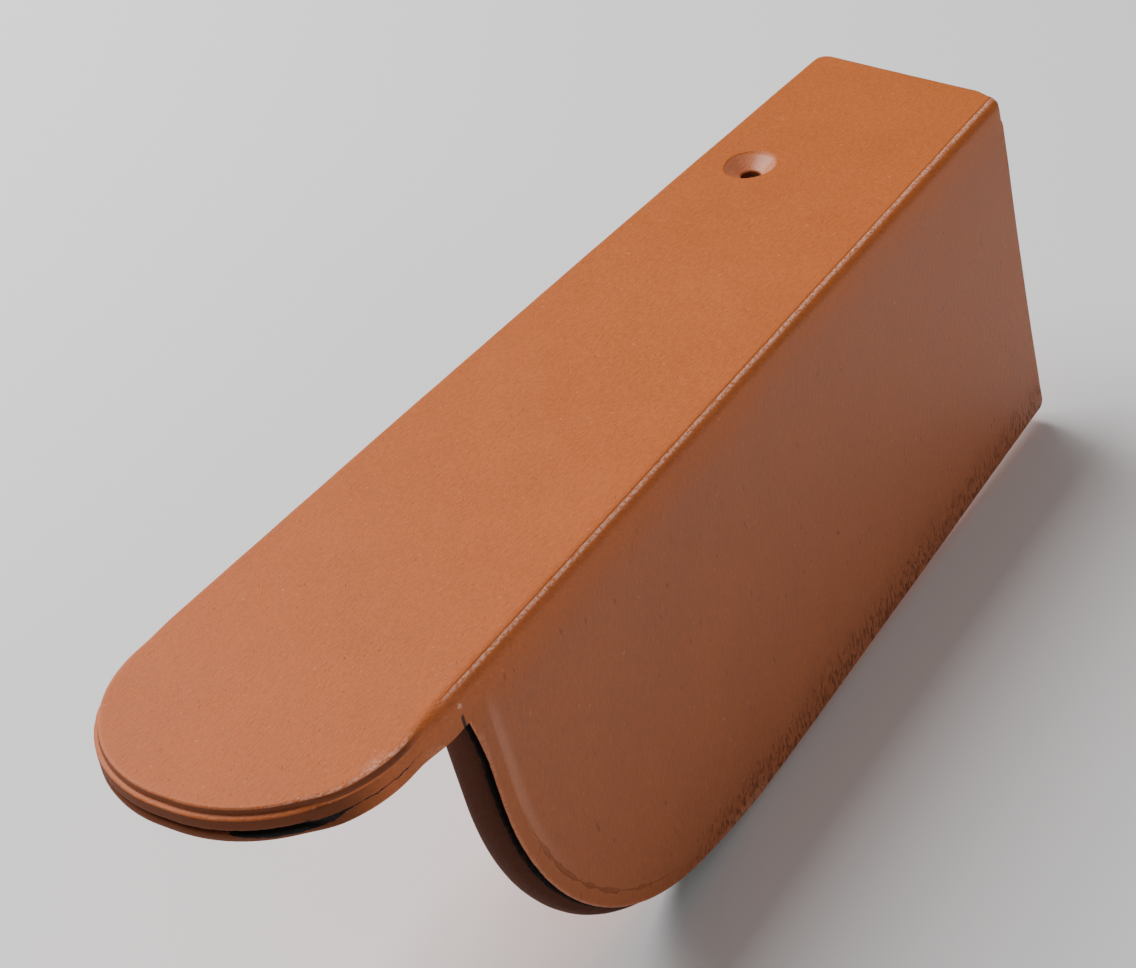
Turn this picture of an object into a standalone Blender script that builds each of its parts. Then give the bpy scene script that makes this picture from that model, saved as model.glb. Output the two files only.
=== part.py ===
"""Half-width verge tile of pressed fired clay, for the right-hand edge of a roof.

One L-shaped piece: a narrow roof plate with a round tail, and a deep flange
with a round nose of its own that hangs down over the gable's barge board.
The plate lies level, its head at +Y, its tail at -Y, the flange at +X.
The origin is the point of the plate's underside that rests on the batten.

Everything is laid out from the fold line: x is 0 on the flange's outer face
at the top, y is 0 at the head of the fold, z is 0 on the plate's top face.
"""
import math

import bmesh
import bpy
from mathutils import Matrix, Vector

# Plate, seen from above
LENGTH = 0.370
PLATE_WIDTH_HEAD = 0.068
PLATE_WIDTH_TAIL = 0.083
PLATE_THICKNESS = 0.010
HEAD_SKEW = 0.0112
HEAD_CORNER_RADIUS = 0.006
TAIL_RADIUS_FREE_SIDE = 0.0385
TAIL_RADIUS_FOLD_SIDE = 0.0425

# Flange, seen from the side
FLANGE_DROP_HEAD = 0.1116
FLANGE_DROP_TAIL = 0.1192
FLANGE_THICKNESS = 0.010
FLANGE_LEAN = math.radians(7.0)
FLANGE_SETBACK = 0.0590
NOSE_RAKE = 0.0050
NOSE_RADIUS = 0.083

# Fold between plate and flange
FOLD_OUTER_RADIUS = 0.0030
FOLD_INNER_RADIUS = 0.0080

# Pressed rim: a shallow step under the crisp top edge of the tail
RIM_HEIGHT = 0.0020
RIM_LEDGE = 0.0013
RIM_RUNOUT = 0.0100

# Nail hole
NAIL_HOLE_DIAMETER = 0.0060
SINK_DIAMETER = 0.0156
SINK_DEPTH = 0.0048
NAIL_HOLE_FROM_FOLD = 0.0540
NAIL_HOLE_FROM_HEAD = 0.0644

# Hanging nib on the underside, and the place of the batten below it
NIB_WIDTH = 0.026
NIB_HEIGHT = 0.012
NIB_LENGTH = 0.016
NIB_SLOPE = 0.005
NIB_FROM_HEAD = 0.010
NIB_FROM_FOLD = 0.035
SEAT_BELOW_NIB = 0.020

# Softened arrises
EDGE_RADIUS = 0.0006
EDGE_ANGLE = math.radians(50.0)
SMOOTH_ANGLE = math.radians(35.0)

ARC_STEP = math.radians(4.0)
HOLE_SIDES = 40
MARGIN = 0.020
WELD = 0.00001

CLAY_COLOUR = (0.47, 0.17, 0.075, 1.0)
CLAY_ROUGHNESS = 0.5

NIB_FACE_Y = -NIB_FROM_HEAD - NIB_LENGTH
SEAT = Vector((-NIB_FROM_FOLD, NIB_FACE_Y - SEAT_BELOW_NIB, -PLATE_THICKNESS))
TO_ORIGIN = Matrix.Translation(-SEAT)


def clear_scene():
    for thing in list(bpy.data.objects):
        bpy.data.objects.remove(thing, do_unlink=True)


def new_collection(name):
    collection = bpy.data.collections.new(name)
    bpy.context.scene.collection.children.link(collection)
    return collection


def rounded_path(corners):
    """Points of a path whose corners, given as (x, y, radius), are rounded by arcs."""
    points = []
    last = len(corners) - 1
    for index, (x, y, radius) in enumerate(corners):
        corner = Vector((x, y))
        if radius == 0.0 or index in (0, last):
            points.append(corner)
            continue
        before = (Vector(corners[index - 1][:2]) - corner).normalized()
        after = (Vector(corners[index + 1][:2]) - corner).normalized()
        half_angle = before.angle(after) / 2.0
        centre = corner + (before + after).normalized() * radius / math.sin(half_angle)
        start = corner + before * radius / math.tan(half_angle) - centre
        turn = math.pi - 2.0 * half_angle
        if before.x * after.y - before.y * after.x > 0.0:
            turn = -turn
        steps = max(3, math.ceil(abs(turn) / ARC_STEP))
        for step in range(steps + 1):
            spin = Matrix.Rotation(turn * step / steps, 2)
            points.append(centre + spin @ start)
    return points


def prism(name, outline, low, high, placing, collection):
    """A flat outline carried from low to high along its own z, then placed."""
    curve = bpy.data.curves.new(name + "_outline", "CURVE")
    curve.dimensions = "2D"
    curve.fill_mode = "BOTH"
    curve.extrude = (high - low) / 2.0
    spline = curve.splines.new("POLY")
    spline.points.add(len(outline) - 1)
    for point, place in zip(spline.points, outline):
        point.co = (place[0], place[1], 0.0, 1.0)
    spline.use_cyclic_u = True
    outline_object = bpy.data.objects.new(name + "_outline", curve)
    outline_object.matrix_world = placing @ Matrix.Translation((0, 0, (low + high) / 2.0))
    collection.objects.link(outline_object)
    bpy.context.view_layer.update()
    depsgraph = bpy.context.evaluated_depsgraph_get()
    mesh = bpy.data.meshes.new_from_object(outline_object.evaluated_get(depsgraph))
    mesh.name = name
    weld(mesh)
    solid = bpy.data.objects.new(name, mesh)
    solid.matrix_world = outline_object.matrix_world
    collection.objects.link(solid)
    bpy.data.objects.remove(outline_object, do_unlink=True)
    return solid


def weld(mesh):
    work = bmesh.new()
    work.from_mesh(mesh)
    bmesh.ops.remove_doubles(work, verts=work.verts, dist=WELD)
    bmesh.ops.recalc_face_normals(work, faces=work.faces)
    work.to_mesh(mesh)
    work.free()


def boolean(target, tool, operation):
    modifier = target.modifiers.new(tool.name, "BOOLEAN")
    modifier.operation = operation
    modifier.object = tool
    modifier.solver = "EXACT"


def as_cutter(tool):
    tool.display_type = "WIRE"
    tool.hide_render = True
    return tool


def leaning(depth):
    """How far the flange's outer face stands out beyond the fold at a depth."""
    return depth * math.tan(FLANGE_LEAN)


def section_outline():
    """The L-shaped cross-section, with a rounded fold, in the plane of x and z."""
    far = PLATE_WIDTH_TAIL + MARGIN
    deep = FLANGE_DROP_TAIL + MARGIN
    wall = FLANGE_THICKNESS / math.cos(FLANGE_LEAN)
    return rounded_path([
        (-far, 0.0, 0.0),
        (0.0, 0.0, FOLD_OUTER_RADIUS),
        (leaning(deep), -deep, 0.0),
        (leaning(deep) - wall, -deep, 0.0),
        (leaning(PLATE_THICKNESS) - wall, -PLATE_THICKNESS, FOLD_INNER_RADIUS),
        (-far, -PLATE_THICKNESS, 0.0),
    ])


def free_edge(y):
    """x of the plate's free edge, which widens from the head to the tail."""
    return -PLATE_WIDTH_HEAD + (PLATE_WIDTH_TAIL - PLATE_WIDTH_HEAD) * y / LENGTH


def head_edge(x):
    """y of the plate's head edge, which is cut a little askew."""
    return -x / PLATE_WIDTH_HEAD * HEAD_SKEW


def beside_the_plate():
    """All that lies outside the free edge and the round tail, seen from above."""
    head_x = -PLATE_WIDTH_HEAD
    tail_x = -PLATE_WIDTH_TAIL
    inner_x = head_x / 2.0
    fold_y = -LENGTH + TAIL_RADIUS_FOLD_SIDE
    return rounded_path([
        (inner_x, head_edge(inner_x), 0.0),
        (head_x, head_edge(head_x), HEAD_CORNER_RADIUS),
        (tail_x, -LENGTH, TAIL_RADIUS_FREE_SIDE),
        (0.0, -LENGTH, TAIL_RADIUS_FOLD_SIDE),
        (0.0, fold_y, 0.0),
        (MARGIN, fold_y, 0.0),
        (MARGIN, -LENGTH - MARGIN, 0.0),
        (tail_x - MARGIN, -LENGTH - MARGIN, 0.0),
        (tail_x - MARGIN, HEAD_SKEW + MARGIN, 0.0),
        (inner_x, HEAD_SKEW + MARGIN, 0.0),
    ])


def round_the_rim():
    """The narrow ring that the pressed rim leaves out round the tail."""
    tail_x = -PLATE_WIDTH_TAIL + RIM_LEDGE
    start_y = -LENGTH + TAIL_RADIUS_FREE_SIDE + RIM_RUNOUT
    end_y = -LENGTH + TAIL_RADIUS_FOLD_SIDE
    return rounded_path([
        (free_edge(start_y) - MARGIN, start_y, 0.0),
        (free_edge(start_y) + RIM_LEDGE, start_y, 0.0),
        (tail_x, -LENGTH + RIM_LEDGE, TAIL_RADIUS_FREE_SIDE - RIM_LEDGE),
        (-RIM_LEDGE, -LENGTH + RIM_LEDGE, TAIL_RADIUS_FOLD_SIDE - RIM_LEDGE),
        (-RIM_LEDGE, end_y, 0.0),
        (MARGIN, end_y, 0.0),
        (MARGIN, -LENGTH - MARGIN, 0.0),
        (free_edge(start_y) - MARGIN, -LENGTH - MARGIN, 0.0),
    ])


def beyond_the_head():
    far_x = -PLATE_WIDTH_TAIL - 2.0 * MARGIN
    wide_x = leaning(FLANGE_DROP_TAIL) + 2.0 * MARGIN
    far_y = HEAD_SKEW + 2.0 * MARGIN
    return [
        (wide_x, 0.0), (wide_x, far_y), (far_x, far_y), (far_x, head_edge(far_x)), (0.0, 0.0),
    ]


def round_the_flange():
    """All that lies before the nose and under the lower edge, in y and z."""
    front_y = -LENGTH + FLANGE_SETBACK
    slope = (FLANGE_DROP_TAIL - FLANGE_DROP_HEAD) / LENGTH
    behind = 2.0 * MARGIN
    deep = -FLANGE_DROP_TAIL - 2.0 * MARGIN
    return rounded_path([
        (front_y, -PLATE_THICKNESS, 0.0),
        (front_y + NOSE_RAKE, -FLANGE_DROP_HEAD + slope * (front_y + NOSE_RAKE), NOSE_RADIUS),
        (behind, -FLANGE_DROP_HEAD + slope * behind, 0.0),
        (behind, deep, 0.0),
        (-LENGTH - MARGIN, deep, 0.0),
        (-LENGTH - MARGIN, -PLATE_THICKNESS, 0.0),
    ])


def cylinder(name, radius, top_radius, low, high, centre, collection):
    """An upright round cutter, straight or conical, standing on low."""
    work = bmesh.new()
    bmesh.ops.create_cone(
        work, cap_ends=True, segments=HOLE_SIDES, radius1=radius, radius2=top_radius,
        depth=high - low, matrix=Matrix.Translation((0, 0, (low + high) / 2.0)),
    )
    mesh = bpy.data.meshes.new(name)
    work.to_mesh(mesh)
    work.free()
    tool = bpy.data.objects.new(name, mesh)
    tool.matrix_world = TO_ORIGIN @ Matrix.Translation(centre)
    collection.objects.link(tool)
    return as_cutter(tool)


def make_nib(collection):
    """A wedge under the head: a square bearing face and a sloping back."""
    root = -PLATE_THICKNESS / 2.0
    tip = -PLATE_THICKNESS - NIB_HEIGHT
    back_y = -NIB_FROM_HEAD
    outline = [
        (NIB_FACE_Y, root), (back_y, root), (back_y, -PLATE_THICKNESS),
        (back_y - NIB_SLOPE, tip), (NIB_FACE_Y, tip),
    ]
    placing = TO_ORIGIN @ Matrix.Translation((-NIB_FROM_FOLD, 0, 0)) @ FROM_SIDE
    half = NIB_WIDTH / 2.0
    return as_cutter(prism("nib", outline, -half, half, placing, collection))


# Outlines drawn in y and z stand upright, and their own z then runs along +X.
# Outlines drawn in x and z stand upright, and their own z then runs along -Y.
FROM_SIDE = Matrix(((0, 0, 1, 0), (1, 0, 0, 0), (0, 1, 0, 0), (0, 0, 0, 1)))
FROM_END = Matrix(((1, 0, 0, 0), (0, 0, -1, 0), (0, 1, 0, 0), (0, 0, 0, 1)))


def fired_clay():
    material = bpy.data.materials.new("fired_clay")
    material.use_nodes = True
    shader = material.node_tree.nodes["Principled BSDF"]
    shader.inputs["Base Color"].default_value = CLAY_COLOUR
    shader.inputs["Roughness"].default_value = CLAY_ROUGHNESS
    shader.inputs["Metallic"].default_value = 0.0
    return material


def soften(tile):
    bevel = tile.modifiers.new("arrises", "BEVEL")
    bevel.width = EDGE_RADIUS
    bevel.segments = 1
    bevel.limit_method = "ANGLE"
    bevel.angle_limit = EDGE_ANGLE
    bevel.use_clamp_overlap = True


def make_tile(parts, cutters):
    front = -LENGTH - MARGIN / 2.0
    back = HEAD_SKEW + MARGIN
    tile = prism(
        "verge_tile", section_outline(), -back, -front, TO_ORIGIN @ FROM_END, parts,
    )
    boolean(tile, make_nib(cutters), "UNION")
    above = MARGIN
    below = -PLATE_THICKNESS - MARGIN
    deep = -FLANGE_DROP_TAIL - 2.0 * MARGIN
    inside = -FLANGE_THICKNESS - FOLD_INNER_RADIUS - MARGIN
    outside = leaning(FLANGE_DROP_TAIL) + 2.0 * MARGIN
    plans = (
        ("head_cutter", beyond_the_head(), deep, above, TO_ORIGIN),
        ("edge_cutter", beside_the_plate(), below, above, TO_ORIGIN),
        ("flange_cutter", round_the_flange(), inside, outside, TO_ORIGIN @ FROM_SIDE),
        ("rim_cutter", round_the_rim(), -RIM_HEIGHT, above, TO_ORIGIN),
    )
    for name, outline, low, high, placing in plans:
        boolean(tile, as_cutter(prism(name, outline, low, high, placing, cutters)), "DIFFERENCE")
    hole = Vector((-NAIL_HOLE_FROM_FOLD, -NAIL_HOLE_FROM_HEAD, 0.0))
    hole_radius = NAIL_HOLE_DIAMETER / 2.0
    sink_radius = SINK_DIAMETER / 2.0
    lift = SINK_DEPTH
    flare = (sink_radius - hole_radius) * lift / SINK_DEPTH
    drill = cylinder("drill", hole_radius, hole_radius, below, above, hole, cutters)
    sink = cylinder(
        "countersink", hole_radius, sink_radius + flare, -SINK_DEPTH, lift, hole, cutters,
    )
    boolean(tile, drill, "DIFFERENCE")
    boolean(tile, sink, "DIFFERENCE")
    soften(tile)
    tile.data.materials.append(fired_clay())
    tile.data.shade_smooth()
    tile.data.set_sharp_from_angle(angle=SMOOTH_ANGLE)
    return tile


def main():
    clear_scene()
    parts = new_collection("verge_tile_parts")
    cutters = new_collection("cutters")
    make_tile(parts, cutters)


main()
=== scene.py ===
# %% [markdown]
# A half-width verge tile in Blender.
#
# The real tile closes the right-hand edge of a tiled roof. It is one piece of
# clay, pressed in a two-part mould, coated with a thin slip and fired: a flat
# plate with a round tail, folded over into a deep flange with a round nose.
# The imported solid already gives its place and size, so this lesson only has
# to make a finer surface in the same place, and the finish of the clay.

# %% Load the fixed frame
import math

import bmesh
import bpy
import numpy as np
from mathutils import Matrix, Vector


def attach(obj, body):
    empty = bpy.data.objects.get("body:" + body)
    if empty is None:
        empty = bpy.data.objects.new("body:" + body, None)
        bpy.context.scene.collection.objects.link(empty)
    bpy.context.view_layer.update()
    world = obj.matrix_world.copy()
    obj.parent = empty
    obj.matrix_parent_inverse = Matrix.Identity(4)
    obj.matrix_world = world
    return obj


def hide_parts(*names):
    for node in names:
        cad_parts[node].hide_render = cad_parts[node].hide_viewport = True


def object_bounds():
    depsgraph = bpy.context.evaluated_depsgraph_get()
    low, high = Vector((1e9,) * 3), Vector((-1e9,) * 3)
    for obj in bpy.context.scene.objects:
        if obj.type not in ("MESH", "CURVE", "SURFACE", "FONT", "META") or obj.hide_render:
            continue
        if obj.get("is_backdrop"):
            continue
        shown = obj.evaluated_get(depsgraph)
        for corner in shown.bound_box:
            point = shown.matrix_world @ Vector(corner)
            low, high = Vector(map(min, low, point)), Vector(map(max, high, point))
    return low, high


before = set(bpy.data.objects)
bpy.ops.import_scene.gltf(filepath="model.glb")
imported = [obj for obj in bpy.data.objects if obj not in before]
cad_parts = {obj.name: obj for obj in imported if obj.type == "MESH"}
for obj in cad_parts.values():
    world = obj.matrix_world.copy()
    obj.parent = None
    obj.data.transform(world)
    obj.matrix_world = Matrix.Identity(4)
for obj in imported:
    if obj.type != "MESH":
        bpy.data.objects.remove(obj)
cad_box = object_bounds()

MM = 0.001
print("solid tile, metres:", [tuple(round(v, 4) for v in corner) for corner in cad_box])

# %% [markdown]
# The photograph looks down on the tail from the flange's side, with the
# camera turned a little about its own axis. A camera can be aimed at a
# target, but here its angles are written out, because its roll matters: the
# tile's long edges must fall where the photograph has them.

# %% Camera
IMAGE_WIDTH = 1136.0
FOCAL_PIXELS = 2500.5
SENSOR_MM = 36.0
EYE = Vector((318.9, -609.95, 368.5)) * MM
AZIMUTH = math.radians(35.476)
ELEVATION = math.radians(34.535)
ROLL = math.radians(-7.822)


def camera_axes(azimuth, elevation, roll):
    """Right, up and back vectors of a camera that looks along an azimuth from +Y."""
    forward = Vector((
        -math.sin(azimuth) * math.cos(elevation),
        math.cos(azimuth) * math.cos(elevation),
        -math.sin(elevation),
    ))
    level_right = forward.cross(Vector((0, 0, 1))).normalized()
    level_up = level_right.cross(forward)
    right = level_right * math.cos(roll) + level_up * math.sin(roll)
    return right, right.cross(forward), -forward


camera_data = bpy.data.cameras.new("camera")
camera_data.sensor_width = SENSOR_MM
camera_data.lens = FOCAL_PIXELS / IMAGE_WIDTH * SENSOR_MM
camera = bpy.data.objects.new("camera", camera_data)
axes = camera_axes(AZIMUTH, ELEVATION, ROLL)
camera.matrix_world = Matrix.Translation(EYE) @ Matrix(axes).transposed().to_4x4()
bpy.context.scene.collection.objects.link(camera)
bpy.context.scene.camera = camera
print("lens, mm:", round(camera_data.lens, 2))

# %% [markdown]
# All outlines are drawn in millimetres from the fold line, where a maker
# would put a square: x across the plate, y along it from the head, z up from
# its top face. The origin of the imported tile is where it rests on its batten,
# so every finished point is moved by one fixed step. The fold stands a hair
# proud of the flange, so that the two leaves never share a face.

# %% Sizes of the tile, in millimetres
FOLD_TO_ORIGIN = np.array([35.0, 46.0, 10.0])
LENGTH = 370.3
WIDTH_HEAD = 68.0
WIDTH_TAIL = 83.0
THICKNESS = 10.0
HEAD_SKEW = 11.2
HEAD_CORNER = 4.0
HEAD_LIFT = 0.6
FOLD_CORNER = 4.5
TAIL_FREE_RADIUS = 38.5
TAIL_FOLD_RADIUS = 38.5
FREE_EDGE_BOW = 0.6
HEAD_DRAW = 0.9
TAIL_DRAW = 1.1

LEAN = math.radians(7.0)
DEPTH_HEAD = 112.9
DEPTH_TAIL = 120.0
SETBACK = 59.0
NOSE_RAKE = 5.0
NOSE_RADIUS = 83.0
HEAD_FLARE = 1.6
HEAD_TOP = 1.5
HEAD_ROUND = 3.6
FLANGE_TOP = 4.0
FOLD_RADIUS = 3.8
FOLD_PROUD = 0.03
FILLET_RADIUS = 8.0
print("plate", LENGTH, "long,", WIDTH_HEAD, "to", WIDTH_TAIL, "wide")
print("flange", DEPTH_HEAD, "to", DEPTH_TAIL, "deep")


def smooth(low, high, value):
    """0 below low, 1 above high, and a soft S between them."""
    t = np.clip((value - low) / (high - low), 0.0, 1.0)
    return t * t * (3.0 - 2.0 * t)


# %% [markdown]
# Both leaves of the tile are flat outlines with round corners. A corner arc
# is found from its two tangent points, and the outline is then cut into four
# sides at the middle of its corners, so that a smooth grid can be stretched
# between them.

# %% Outlines with round corners
ARC_POINTS = 61
BEND_POINTS = 600


def corner_centre(before, corner, after, radius):
    """Unit edges of a corner, half its angle, and the centre at radius / sin(half) on the bisector."""
    to_before = (before - corner) / np.linalg.norm(before - corner)
    to_after = (after - corner) / np.linalg.norm(after - corner)
    half = math.acos(float(np.clip(to_before @ to_after, -1.0, 1.0))) / 2.0
    bisector = (to_before + to_after) / np.linalg.norm(to_before + to_after)
    return to_before, to_after, half, corner + bisector * radius / math.sin(half)


def corner_arc(before, corner, after, radius):
    """The arc that rounds a corner, turned about its centre from one tangent point to the other."""
    to_before, to_after, half, centre = corner_centre(before, corner, after, radius)
    start = corner + to_before * radius / math.tan(half) - centre
    turn = (math.pi - 2.0 * half) * (-1.0 if np.cross(to_before, to_after) > 0.0 else 1.0)
    angle = np.linspace(0.0, turn, ARC_POINTS)
    cos, sin = np.cos(angle), np.sin(angle)
    return centre + np.stack([start[0] * cos - start[1] * sin, start[0] * sin + start[1] * cos], 1)


def four_sides(corners, counts, bend=None):
    """Cuts a rounded four-cornered outline into sides that run from arc middle to arc middle."""
    points = [np.array(corner[:2], float) for corner in corners]
    arcs = [
        corner_arc(points[i - 1], points[i], points[(i + 1) % 4], corners[i][2]) for i in range(4)
    ]
    middle = ARC_POINTS // 2
    sides = []
    for i in range(4):
        path = np.concatenate([arcs[i][middle:], arcs[(i + 1) % 4][:middle + 1]])
        if bend is not None:
            path = bend(evenly(path, BEND_POINTS))
        sides.append(path)
    return [evenly(side, count) for side, count in zip(sides, counts)]


def evenly(path, count):
    """The same path with count + 1 points at equal distances along it."""
    steps = np.r_[0.0, np.cumsum(np.linalg.norm(np.diff(path, axis=0), axis=1))]
    places = np.linspace(0.0, steps[-1], count + 1)
    return np.stack([np.interp(places, steps, path[:, axis]) for axis in range(2)], 1)


def outward(loop):
    """Unit normals of a closed loop that runs counter-clockwise, from its neighbours' chord."""
    chord = np.roll(loop, -2, 0) - np.roll(loop, 2, 0)
    normal = np.stack([chord[:, 1], -chord[:, 0]], 1)
    return normal / np.linalg.norm(normal, axis=1, keepdims=True)


# %% [markdown]
# A leaf is then a slab: two faces and an edge. Each face is a Coons patch, a
# grid that blends its four boundary sides and subtracts the corners that were
# counted twice. The edge is a profile of offset and drop, carried round the
# outline along its normals, so the pressed rim is real geometry.

# %% Slab from four sides and an edge profile
def coons(first, second, third, fourth):
    """Grid between four sides: both ruled surfaces added, less the bilinear one."""
    left, tail = first, second
    right, head = third[::-1], fourth[::-1]
    u = np.linspace(0.0, 1.0, len(left))[:, None, None]
    v = np.linspace(0.0, 1.0, len(head))[None, :, None]
    across = (1.0 - v) * left[:, None] + v * right[:, None]
    along = (1.0 - u) * head[None] + u * tail[None]
    corner = (
        (1.0 - u) * (1.0 - v) * left[0] + u * (1.0 - v) * left[-1]
        + (1.0 - u) * v * right[0] + u * v * right[-1]
    )
    return across + along - corner


def split_loop(loop, counts):
    """The four sides of a closed loop, each with both of its end points."""
    ends = np.cumsum([0] + list(counts))
    closed = np.concatenate([loop, loop[:1]])
    return [closed[ends[i]:ends[i + 1] + 1] for i in range(4)]


def rim_indices(counts):
    """Numbers of a patch's vertices in the order of the loop that bounds it."""
    rows, columns = counts[0] + 1, counts[1] + 1
    number = np.arange(rows * columns).reshape(rows, columns)
    return np.concatenate([
        number[:-1, 0], number[-1, :-1], number[:0:-1, -1], number[0, :0:-1],
    ])


def grid_faces(number):
    """Quads of a grid of vertex numbers."""
    corners = (number[:-1, :-1], number[1:, :-1], number[1:, 1:], number[:-1, 1:])
    return np.stack([corner.ravel() for corner in corners], 1)


def slab(sides, offsets, drops):
    """Vertices (flat place and drop) and quads of a closed leaf.

    offsets and drops hold one row for each line of the edge profile and one
    column for each point of the outline. The first line bounds the upper
    face, the last line the lower one.
    """
    counts = [len(side) - 1 for side in sides]
    loop = np.concatenate([side[:-1] for side in sides])
    normal = outward(loop)
    rings = loop[None] + offsets[:, :, None] * normal[None]
    upper = coons(*split_loop(rings[0], counts))
    lower = coons(*split_loop(rings[-1], counts))
    size = upper.shape[0] * upper.shape[1]
    upper_number = np.arange(size).reshape(upper.shape[:2])
    lower_number = upper_number + size
    between = 2 * size + np.arange((len(rings) - 2) * len(loop)).reshape(len(rings) - 2, len(loop))
    rim = rim_indices(counts)
    strip = np.concatenate([rim[None], between, rim[None] + size])
    strip = np.concatenate([strip, strip[:, :1]], 1)
    faces = np.concatenate([
        grid_faces(upper_number), grid_faces(lower_number)[:, ::-1], grid_faces(strip),
    ])
    flat = np.concatenate([upper.reshape(-1, 2), lower.reshape(-1, 2), rings[1:-1].reshape(-1, 2)])
    drop = np.concatenate([
        np.full(size, drops[0].mean()), np.full(size, drops[-1].mean()), drops[1:-1].ravel(),
    ])
    return flat, drop, faces


def make_mesh(name, points, faces):
    """A mesh object at the origin from points in millimetres and quads, faces outwards."""
    mesh = bpy.data.meshes.new(name)
    mesh.from_pydata((points * MM).tolist(), [], faces.tolist())
    work = bmesh.new()
    work.from_mesh(mesh)
    bmesh.ops.remove_doubles(work, verts=work.verts, dist=1e-7)
    bmesh.ops.recalc_face_normals(work, faces=work.faces)
    work.to_mesh(mesh)
    work.free()
    thing = bpy.data.objects.new(name, mesh)
    bpy.context.scene.collection.objects.link(thing)
    print(name, len(mesh.vertices), "vertices")
    return thing


# %% [markdown]
# Nothing pressed by hand is quite even. A sum of a few sine waves with fixed
# random directions gives a gentle, repeatable unevenness at any scale, which
# later roughens the rims and keeps the faces from looking machined.

# %% Repeatable unevenness
def ripple(places, wavelength, seed, waves=9):
    """Between about -1 and 1: the mean of sine waves with seeded directions and phases."""
    random = np.random.default_rng(seed)
    places = np.atleast_2d(places.T).T
    direction = random.normal(size=(places.shape[1], waves))
    direction *= random.uniform(0.6, 1.6, waves) / np.linalg.norm(direction, axis=0)
    phase = random.uniform(0.0, 2.0 * math.pi, waves)
    return np.sin(places @ direction * (2.0 * math.pi / wavelength) + phase).mean(1) * 2.0


# %% [markdown]
# The plate's tail shows how it was pressed: under a crisp top edge lies a
# small step and ledge, then a band, a ragged line where surplus clay tore
# off, and a rounded belly. The step dies out before the fold. Round the free
# edge and the head the arris is plain, and along the flange it is the fold.

# %% Edge profiles of the plate, as outward offset and drop
TAIL_PROFILE = np.array([
    (-2.30, 0.00), (-1.85, 0.02), (-1.60, 0.12), (-1.48, 0.35), (-1.40, 0.85), (-1.34, 1.40),
    (-1.22, 1.80), (-0.95, 1.98), (-0.45, 2.06), (-0.14, 2.16), (-0.02, 2.42), (0.00, 2.90),
    (0.04, 3.70), (0.04, 4.60), (0.00, 5.20), (-0.25, 5.55), (-0.80, 5.75), (-1.00, 6.05),
    (-0.80, 6.35), (-0.20, 6.60), (0.00, 7.05), (-0.05, 7.85), (-0.35, 8.65), (-0.95, 9.35),
    (-1.80, 9.85), (-2.80, 10.0),
])
LINES = len(TAIL_PROFILE)


def arris_profile(top_radius, low_radius):
    """A plain edge: quarter rounds at top and bottom with a straight wall between."""
    quarter = np.linspace(0.0, math.pi / 2.0, 7)
    upper = np.stack([top_radius * (np.sin(quarter) - 1.0), top_radius * (1.0 - np.cos(quarter))], 1)
    lower = np.stack([
        low_radius * (np.cos(quarter) - 1.0), THICKNESS - low_radius * (1.0 - np.sin(quarter)),
    ], 1)
    wall = np.linspace(0.0, 1.0, LINES - 12)[1:-1]
    straight = np.stack([0.0 * wall, top_radius + wall * (THICKNESS - low_radius - top_radius)], 1)
    return np.concatenate([upper, straight, lower])


def fold_profile():
    """The fold: an arc tangent to the top face and to the leaning flange, then the flange's line."""
    reach = FOLD_RADIUS * math.tan((math.pi / 2.0 - LEAN) / 2.0)
    angle = np.linspace(0.0, math.pi / 2.0 - LEAN, 12)
    arc = np.stack([FOLD_RADIUS * np.sin(angle) - reach, FOLD_RADIUS * (1.0 - np.cos(angle))], 1)
    down = np.linspace(arc[-1, 1], THICKNESS, LINES - 11)[1:]
    line = np.stack([down * math.tan(LEAN) + FOLD_PROUD, down], 1)
    return np.concatenate([arc, line])


BAND_PROFILE = arris_profile(1.8, 1.0)
PLAIN_PROFILE = arris_profile(0.9, 1.4)
FOLD_PROFILE = fold_profile()
print("each edge profile has", LINES, "lines")

# %% [markdown]
# The plate mixes these profiles round its outline. Each point of the outline
# has four shares that add up to one: the pressed step, the band, the fold and
# the plain arris. Soft steps between them let the rim die out before the
# fold, as it does on the real tile.

# %% Outline of the plate and the shares of its profiles
PLATE_COUNTS = (200, 64, 200, 64)
RIM_FADES_AT = math.radians(44.0)
RIM_STARTS_AT = math.radians(74.0)
RIM_FADE = math.radians(16.0)
FOLD_STARTS = -316.0
FOLD_BLEND = 17.0
RAGGED = 0.12


def bow_free_edge(path):
    """Draws the free edge in at both ends and out at its middle, by a parabola in y."""
    along = np.clip((path[:, 1] + LENGTH * 0.43) / (LENGTH * 0.43), -1.0, 1.1)
    draw = np.where(along > 0.0, HEAD_DRAW, TAIL_DRAW)
    on_free_side = smooth(-30.0, -60.0, path[:, 0])
    bent = path.copy()
    bent[:, 0] -= (FREE_EDGE_BOW - draw * along * along) * on_free_side
    return bent


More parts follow.
